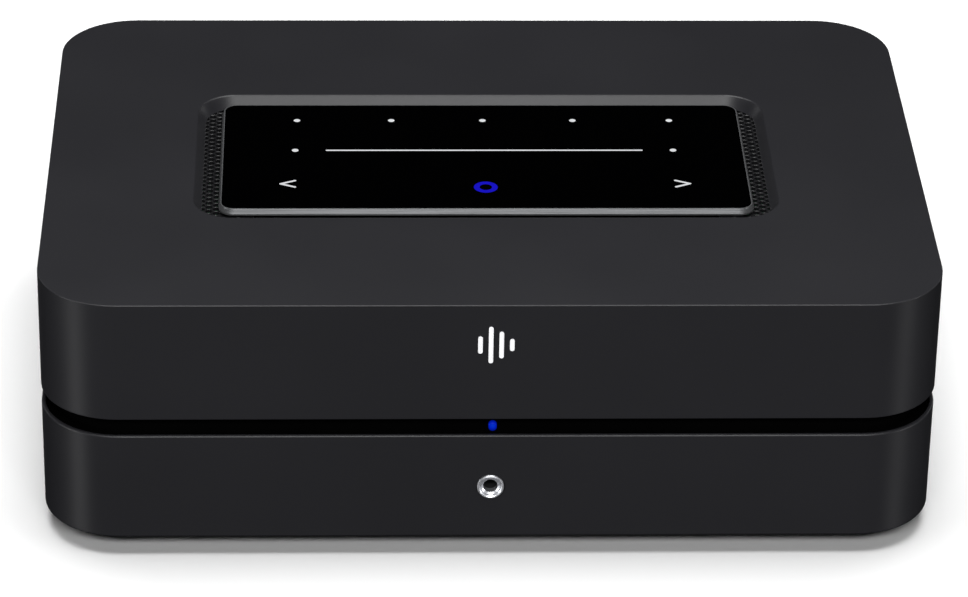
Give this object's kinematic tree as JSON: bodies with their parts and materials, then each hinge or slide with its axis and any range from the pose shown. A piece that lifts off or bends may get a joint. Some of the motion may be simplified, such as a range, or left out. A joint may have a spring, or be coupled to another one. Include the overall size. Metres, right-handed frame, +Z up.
{
  "type": "bluetooth audio receiver",
  "caption": "Compact black wireless audio receiver and amplifier: two rounded shells with a dark gap between them and a glass touch panel in a vented recess on top.",
  "frame": {"origin": "centre of the foot's flat bottom face, under the middle of the body", "axes": "+Z up, +X towards the right-hand side seen from the front, -Y towards the front, so the sockets are at +Y"},
  "size_m": [0.22, 0.1739, 0.07],
  "materials": {
    "shell_paint": "satin black, fine moulded texture",
    "foot_rubber": "matt",
    "insert_brass": "machined",
    "inner_black": "matt black",
    "panel_steel": "fine powder coat",
    "badge_silver": "polished",
    "grille_steel": "satin black paint",
    "bezel_metal": "brushed, dark anodised",
    "glass_black": "back-printed black cover glass",
    "icon_white": "lit white window",
    "ring_blue": "lit blue window",
    "circuit_board": "solder mask",
    "lamp_body": "diffused lamp",
    "flat_cable": "polyester film",
    "shield_tin": "tinned steel",
    "aerial_metal": "stamped",
    "heatsink_aluminium": "extruded, black anodised edges",
    "chip_black": "moulded",
    "coil_copper": "enamelled wire",
    "ferrite": "sintered",
    "capacitor_sleeve": "shrink sleeve",
    "socket_chrome": "polished",
    "status_blue": "lit blue rod",
    "contact_plating": "nickel plated",
    "button_plastic": "moulded",
    "post_collar": "moulded",
    "knob_red": "moulded, tinted",
    "knob_black": "moulded",
    "screw_steel": "blackened"
  },
  "bodies": {
    "chassis": {"top_shell": "shell_paint", "bottom_shell": "shell_paint", "foot_pad": "foot_rubber", "bracket_insert": "insert_brass", "waist_frame": "inner_black", "well_tray": "inner_black", "touch_carrier": "inner_black", "rear_panel": "panel_steel", "front_badge": "badge_silver", "vent_grille_left": "grille_steel", "vent_grille_right": "grille_steel", "touch_bezel": "bezel_metal", "touch_glass": "glass_black", "touch_icons": "icon_white", "play_ring": "ring_blue", "touch_pcb": "circuit_board", "main_pcb": "circuit_board", "amp_pcb": "circuit_board", "power_pcb": "circuit_board", "front_pcb": "circuit_board", "touch_leds": "lamp_body", "touch_flex": "flat_cable", "insulating_sheet": "flat_cable", "processor_shield": "shield_tin", "wifi_module": "shield_tin", "antenna_left": "aerial_metal", "antenna_right": "aerial_metal", "heatsink": "heatsink_aluminium", "amp_chips": "chip_black", "mains_choke": "chip_black", "phone_jack_body": "chip_black", "setup_switch": "chip_black", "ac_inlet": "chip_black", "audio_in_jack": "chip_black", "sub_out_core": "chip_black", "output_inductors": "coil_copper", "transformer_coil": "coil_copper", "transformer_core": "ferrite", "bulk_capacitors": "capacitor_sleeve", "phone_jack_ring": "socket_chrome", "status_light_pipe": "status_blue", "status_led": "status_blue", "ac_inlet_pins": "contact_plating", "lan_jack": "contact_plating", "usb_port": "contact_plating", "hdmi_port": "contact_plating", "sub_out_shell": "contact_plating", "post_studs": "contact_plating", "post_bases": "post_collar", "case_screws": "screw_steel", "board_screws": "screw_steel"},
    "nut_1": {"post_nut_1": "contact_plating"},
    "knob_1": {"post_knob_1": "knob_black"},
    "nut_2": {"post_nut_2": "contact_plating"},
    "knob_2": {"post_knob_2": "knob_red"},
    "nut_3": {"post_nut_3": "contact_plating"},
    "knob_3": {"post_knob_3": "knob_black"},
    "nut_4": {"post_nut_4": "contact_plating"},
    "knob_4": {"post_knob_4": "knob_red"},
    "button": {"setup_button": "button_plastic"}
  },
  "joints": [
    {"name": "post_1_lift", "type": "slide", "parent": "chassis", "child": "nut_1", "axis": [0, 1, 0], "range_m": [0, 0.004]},
    {"name": "post_1_turn", "type": "hinge", "parent": "nut_1", "child": "knob_1", "pos_m": [-0.07, 0.087, 0.0206], "axis": [0, 1, 0], "range_deg": [0, 1801]},
    {"name": "post_2_lift", "type": "slide", "parent": "chassis", "child": "nut_2", "axis": [0, 1, 0], "range_m": [0, 0.004]},
    {"name": "post_2_turn", "type": "hinge", "parent": "nut_2", "child": "knob_2", "pos_m": [-0.051, 0.087, 0.0206], "axis": [0, 1, 0], "range_deg": [0, 1801]},
    {"name": "post_3_lift", "type": "slide", "parent": "chassis", "child": "nut_3", "axis": [0, 1, 0], "range_m": [0, 0.004]},
    {"name": "post_3_turn", "type": "hinge", "parent": "nut_3", "child": "knob_3", "pos_m": [-0.028, 0.087, 0.0206], "axis": [0, 1, 0], "range_deg": [0, 1801]},
    {"name": "post_4_lift", "type": "slide", "parent": "chassis", "child": "nut_4", "axis": [0, 1, 0], "range_m": [0, 0.004]},
    {"name": "post_4_turn", "type": "hinge", "parent": "nut_4", "child": "knob_4", "pos_m": [-0.009, 0.087, 0.0206], "axis": [0, 1, 0], "range_deg": [0, 1801]},
    {"name": "setup_button_press", "type": "slide", "parent": "chassis", "child": "button", "axis": [0, -1, 0], "range_m": [0, 0.0008], "stiffness_N_per_m": 900, "springref_m": -0.0008}
  ],
  "couplings": [
    {"joint": "post_1_turn", "follows": "post_1_lift", "rad_per_m": 7854},
    {"joint": "post_2_turn", "follows": "post_2_lift", "rad_per_m": 7854},
    {"joint": "post_3_turn", "follows": "post_3_lift", "rad_per_m": 7854},
    {"joint": "post_4_turn", "follows": "post_4_lift", "rad_per_m": 7854}
  ]
}
